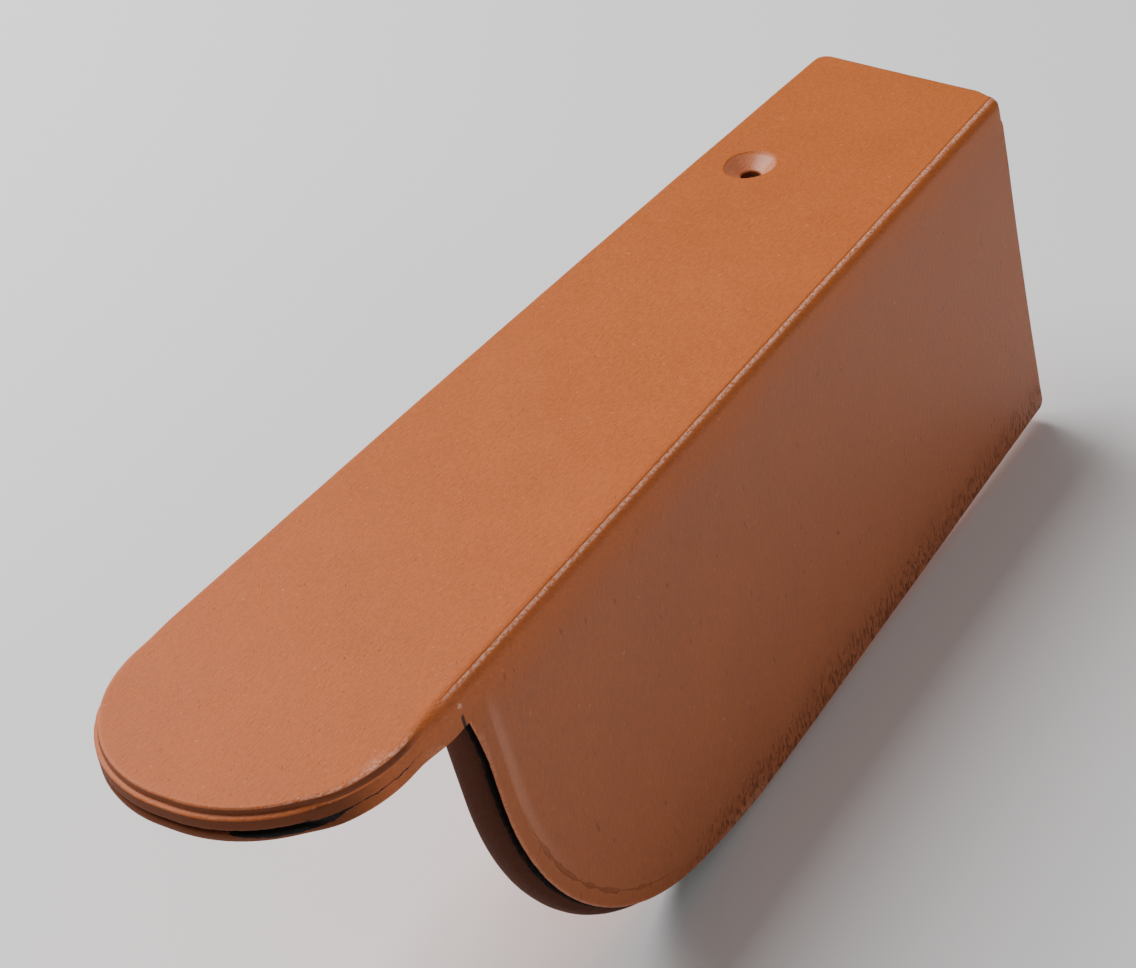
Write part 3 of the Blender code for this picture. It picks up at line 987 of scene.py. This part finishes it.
tear_width = ranged(t, x, 0.007, 0.020, 0.25, 1.85)
tear_width = times(tear_width, ranged(t, x, 0.0315, 0.0265, 0.1, 1.0))
tear_centre = maths(t, "ADD", times(tear_width, TEAR_SINKS), TEAR_DROP)
tear = use(
    t, line_group, Distance=drop, Centre=tear_centre, Width=tear_width,
    Wander=0.35, Broken=0.45, Place=place,
)["Mask"]
gap_shade = use(
    t, line_group, Distance=behind, Centre=GAP_BEHIND, Width=GAP_WIDTH,
    Wander=0.2, Broken=0.15, Place=place,
)["Mask"]
# Painted shade: the tear and the gap are laid on near black.
crack_shade = maths(t, "MAXIMUM", times(tear, tail_mask), times(gap_shade, front_zone))
colour = mix(crack_shade, colour, CRACK_SHADE_COLOUR)
print("clay nodes with the torn edges:", len(t.nodes))

# %% [markdown]
# The outer face carries the marks of the mould, a darker margin along the
# nose. Where the margin ends, a ragged dark line runs along its lower arc,
# painted shade over a shallow groove, and a pale streak above it is a painted
# highlight, where the light catches the step.

# %% Margin of the outer face
MARGIN_REACH = (8.2, 6.8)
STREAK_REACH = ((6.8, 8.0), (8.8, 11.8))
STREAK_HIGHLIGHT_SHARE = 0.22
MARGIN_SHADE_SHARE = 0.6

in_margin = times(ranged(t, front, *MARGIN_REACH), outer_face, ranged(t, y, -0.17, -0.24))
colour = mix(times(in_margin, 0.5), colour, mix(0.5, MARGIN_COLOUR, colour))
# Painted highlight: a pale streak where the light catches the margin's step.
streak_height = times(ranged(t, z, -0.075, -0.02), ranged(t, z, 0.004, -0.008))
streak_highlight = times(between(front, *STREAK_REACH), outer_face, streak_height)
colour = mix(times(streak_highlight, STREAK_HIGHLIGHT_SHARE), colour, PALE_AND_HIGHLIGHT_COLOUR)
margin_groove_and_shade = use(
    t, line_group, Distance=front, Centre=MARGIN_WIDTH, Width=0.7,
    Wander=0.30, Broken=0.8, Place=place,
)["Mask"]
# Painted shade: the dark line keeps to the margin's lower arc, where its step faces down.
line_reach = times(ranged(t, y, -0.19, -0.235), ranged(t, z, -0.028, -0.055))
margin_groove_and_shade = times(margin_groove_and_shade, outer_face, line_reach)
colour = mix(times(margin_groove_and_shade, MARGIN_SHADE_SHARE), colour, DEEP_RED_AND_SHADE_COLOUR)

# %% [markdown]
# Beside the lower edge, towards the head, the photograph shows rough dark
# drags. A noise that is stretched upright gives such short strokes, and its
# mask fades out away from the edge.

# %% Drags beside the lower edge
DRAG_REACH = (16.0, 3.0)
DRAG_GRAIN = (600.0, 900.0, 330.0)
DRAG_SHARE = 0.75

drag_place = add(t, "ShaderNodeVectorMath", "MULTIPLY", _0=place, _1=DRAG_GRAIN)
drag = add(t, "ShaderNodeTexNoise", Vector=drag_place, Scale=1.0, Detail=4.0, Roughness=0.7)
drag_zone = times(ranged(t, low, *DRAG_REACH), outer_face, ranged(t, y, -0.235, -0.17))
drags = times(ranged(t, drag, 0.50, 0.64), drag_zone)
colour = mix(times(drags, DRAG_SHARE), colour, mix(0.45, DEEP_RED_AND_SHADE_COLOUR, BODY_AND_SHADE_COLOUR))
print("clay nodes with the outer face:", len(t.nodes))

# %% [markdown]
# The fold carries a painted highlight, pale in a broken bead, with a thin
# deeper line on its plate side. How far round the fold a point lies is told by
# its distance behind the outer face. The bead narrows towards the tail, so
# that distance is divided by a width.

# %% Painted highlight on the fold
BEAD_GRAIN = (1400.0, 900.0, 1400.0)
BEAD_ROUND = ((0.8, 1.5), (1.85, 2.1))
BESIDE_ROUND = ((2.0, 2.15), (2.3, 2.5))
BESIDE_SHARE = 0.7

fold_place = add(t, "ShaderNodeVectorMath", "MULTIPLY", _0=place, _1=BEAD_GRAIN)
bead = add(t, "ShaderNodeTexNoise", Vector=fold_place, Scale=1.0, Detail=2.0, Roughness=0.6)
beads = ranged(t, bead, 0.38, 0.58, 0.15, 1.0)
before_tail = ranged(t, y, -0.275, -0.262)
round_fold = maths(t, "DIVIDE", behind, ranged(t, y, 0.04, -0.27, 1.3, 0.9))
near_top = ranged(t, drop, 2.2, 1.6)
# Painted highlight: a pale broken bead along the fold.
fold_highlight = times(between(round_fold, *BEAD_ROUND), near_top, beads, before_tail)
colour = mix(fold_highlight, colour, PALE_AND_HIGHLIGHT_COLOUR)
beside_fold = times(between(round_fold, *BESIDE_ROUND), ranged(t, drop, 0.9, 0.5), before_tail)
colour = mix(times(beside_fold, BESIDE_SHARE), colour, DEEP_RED_AND_SHADE_COLOUR)

# %% [markdown]
# Where the flange's front meets the plate, a short seam painted black as shade
# shows under a small pale burr of clay. Both have a place of their own on the
# tile.

# %% Seam shade and burr
SEAM_Y = 266.6
SEAM_SHADE_SHARE = 0.9
BURR_PLACE = (0.0355, -0.2668, 0.0058)
BURR_RADIUS = 0.9

seam_y = maths(t, "ABSOLUTE", maths(t, "ADD", maths(t, "MULTIPLY", y, TO_MM), SEAM_Y))
seam_side = times(ranged(t, drop, 6.2, 7.2), ranged(t, behind, 2.0, 1.2))
# Painted shade: a short black line in the seam.
seam_shade = times(ranged(t, seam_y, 0.75, 0.35), seam_side)
colour = mix(times(seam_shade, SEAM_SHADE_SHARE), colour, CRACK_SHADE_COLOUR)
to_burr = add(t, "ShaderNodeVectorMath", "DISTANCE", outlet=1, _0=place, _1=BURR_PLACE)
burr = use(
    t, line_group, Distance=maths(t, "MULTIPLY", to_burr, TO_MM), Width=BURR_RADIUS,
    Wander=0.5, Place=place,
)["Mask"]
colour = mix(times(burr, beads), colour, PALE_AND_HIGHLIGHT_COLOUR)

# %% [markdown]
# The sharpest rims carry painted highlights too: the top arris of the tail on
# the flange's side, and faintly the outer rim of the flange's front.

# %% Painted highlights on the rims
RIM_DROP = ((0.02, 0.10), (0.3, 0.55))
RIM_BEHIND = ((0.25, 0.4), (0.6, 0.85))
FRONT_RIM_HIGHLIGHT_SHARE = 0.35
RIM_HIGHLIGHT_SHARE = 0.7

# Painted highlights: pale broken lines along the sharpest rims.
rim_tail_highlight = times(between(drop, *RIM_DROP), tail_mask, ranged(t, x, 0.010, 0.026, 0.2, 1.0))
rim_front_highlight = times(between(behind, *RIM_BEHIND), ranged(t, front, 3.9, 3.3), flange_mask)
rim_highlights = maths(t, "MAXIMUM", rim_tail_highlight, times(rim_front_highlight, FRONT_RIM_HIGHLIGHT_SHARE))
colour = mix(times(rim_highlights, beads, RIM_HIGHLIGHT_SHARE), colour, PALE_AND_HIGHLIGHT_COLOUR)

# %% [markdown]
# In the sink the cone is painted paler and the slip a little glossy, and the
# hole itself is painted dark, as the shade inside it. Both follow the distance
# from the hole's axis.

# %% Sink and hole
HOLE_PLAN = (HOLE_X + FOLD_TO_ORIGIN[0], HOLE_Y + FOLD_TO_ORIGIN[1], 0.0)
SINK_REACH = (8.4, 7.6)
CONE_SHARE = 0.22
HOLE_SHADE_SHARE = 0.95
SINK_GLOSS = 0.45

in_plan = add(t, "ShaderNodeVectorMath", "MULTIPLY", _0=place, _1=(TO_MM, TO_MM, 0.0))
from_hole = add(t, "ShaderNodeVectorMath", "DISTANCE", outlet=1, _0=in_plan, _1=HOLE_PLAN)
# Painted shade inside the hole, in the dark body colour.
hole_shade = times(ranged(t, from_hole, 3.7, 3.2), ranged(t, drop, 3.7, 4.6))
on_cone = times(ranged(t, from_hole, *SINK_REACH), between(drop, (0.15, 0.5), (3.4, 4.2)))
colour = mix(times(on_cone, CONE_SHARE), colour, PALE_AND_HIGHLIGHT_COLOUR)
colour = mix(times(hole_shade, HOLE_SHADE_SHARE), colour, BODY_AND_SHADE_COLOUR)
in_sink = times(ranged(t, from_hole, *SINK_REACH), ranged(t, drop, 0.1, 0.4))

# %% [markdown]
# The slip dried to a satin, rougher where the grain is raised and on bare
# clay. The grain, the drags and the groove at the margin's edge also make a
# fine relief, about a third of a millimetre high, which only bends the light.

# %% Surface of the clay
SLIP_ROUGHNESS = (0.42, 0.56)
BARE_ROUGHER = 0.3
MARK_DEPTH = 1.2
RELIEF_STRENGTH = 0.8
RELIEF_HEIGHT = 0.00035

roughness = ranged(t, grain["Grain"], 0.35, 0.65, *SLIP_ROUGHNESS)
bare = maths(t, "MAXIMUM", bare_tail_and_shade, bare_front_and_shade)
roughness = maths(t, "ADD", roughness, times(bare, BARE_ROUGHER))
marks = maths(t, "MAXIMUM", drags, margin_groove_and_shade)
height = maths(t, "SUBTRACT", grain["Height"], times(marks, MARK_DEPTH))
relief = t.nodes.new("ShaderNodeBump")
relief.inputs["Strength"].default_value = RELIEF_STRENGTH
relief.inputs["Distance"].default_value = RELIEF_HEIGHT
t.links.new(height, relief.inputs["Height"])
t.links.new(colour, shader.inputs["Base Color"])
t.links.new(roughness, shader.inputs["Roughness"])
t.links.new(relief.outputs[0], shader.inputs["Normal"])
t.links.new(times(in_sink, SINK_GLOSS), shader.inputs["Coat Weight"])
shader.inputs["Coat Roughness"].default_value = 0.3
shader.inputs["Specular IOR Level"].default_value = 0.25
print("clay material:", len(t.nodes), "nodes")

# %% [markdown]
# The tile then gets its one material. It rides on the imported root body and
# takes the place of the imported solid.

# %% Dress the tile
tile.data.materials.clear()
tile.data.materials.append(clay)
tile.data.polygons.foreach_set("material_index", np.zeros(len(tile.data.polygons), dtype=np.int32))

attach(tile, "root")
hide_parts("verge_tile")
print("materials on the tile:", [material.name for material in tile.data.materials])

# %% [markdown]
# The photograph shows no floor, only white. A plain pale floor just under
# the flange stands for it. It is a hair lower than the tile, so that the two
# never share a face.

# %% Floor
FLOOR_HALF = 4.0
FLOOR_BELOW = 0.0006
FLOOR_COLOUR = (0.93, 0.93, 0.93, 1.0)
floor_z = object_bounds()[0][2] - FLOOR_BELOW
floor_mesh = bpy.data.meshes.new("floor")
floor_corners = [(-1, -1), (1, -1), (1, 1), (-1, 1)]
floor_mesh.from_pydata(
    [(a * FLOOR_HALF, b * FLOOR_HALF, floor_z) for a, b in floor_corners], [], [(0, 1, 2, 3)],
)
floor = bpy.data.objects.new("floor", floor_mesh)
bpy.context.scene.collection.objects.link(floor)
pale = bpy.data.materials.new("pale_floor")
pale.use_nodes = True
pale_shader = pale.node_tree.nodes["Principled BSDF"]
pale_shader.inputs["Base Color"].default_value = FLOOR_COLOUR
pale_shader.inputs["Roughness"].default_value = 0.9
pale_shader.inputs["Specular IOR Level"].default_value = 0.0
floor_mesh.materials.append(pale)
floor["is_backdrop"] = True
print("floor at", round(floor_z, 4), "m")

# %% [markdown]
# One large soft light from above the free edge lights the plate and leaves
# the flange in half shade, as in the photograph. A weak one from the right
# keeps the flange brown, and a little even light comes from all round. The
# larger an area light is, the softer are its shadows.

# %% Lights
LIT_POINT = Vector((0.0, -0.14, -0.03))
EVEN_LIGHT = 0.15


def soft_light(name, towards, distance, size, power):
    """A square area light that looks at the middle of the tile from a direction."""
    data = bpy.data.lights.new(name, "AREA")
    data.size = size
    data.energy = power
    light = bpy.data.objects.new(name, data)
    direction = Vector(towards).normalized()
    light.location = LIT_POINT + direction * distance
    light.rotation_euler = direction.to_track_quat("Z", "Y").to_euler()
    bpy.context.scene.collection.objects.link(light)
    return light


soft_light("key", (-0.85, 0.0, 1.0), 1.7, 1.6, 49.0)
soft_light("fill", (1.0, -0.1, 0.55), 1.8, 0.7, 3.8)

world = bpy.data.worlds.new("studio")
bpy.context.scene.world = world
world.use_nodes = True
world.node_tree.nodes["Background"].inputs["Color"].default_value = (1, 1, 1, 1)
world.node_tree.nodes["Background"].inputs["Strength"].default_value = EVEN_LIGHT
print("lights:", len(bpy.data.lights))

# %% [markdown]
# The finished tile has to fill the same space as the imported solid, so both
# boxes are kept side by side.

visual_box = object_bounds()
sizes = {
    "cad": [[float(value) for value in corner] for corner in cad_box],
    "visual": [[float(value) for value in corner] for corner in visual_box],
}
for label, box in sizes.items():
    print(label, [[round(value * 1000.0, 2) for value in corner] for corner in box])
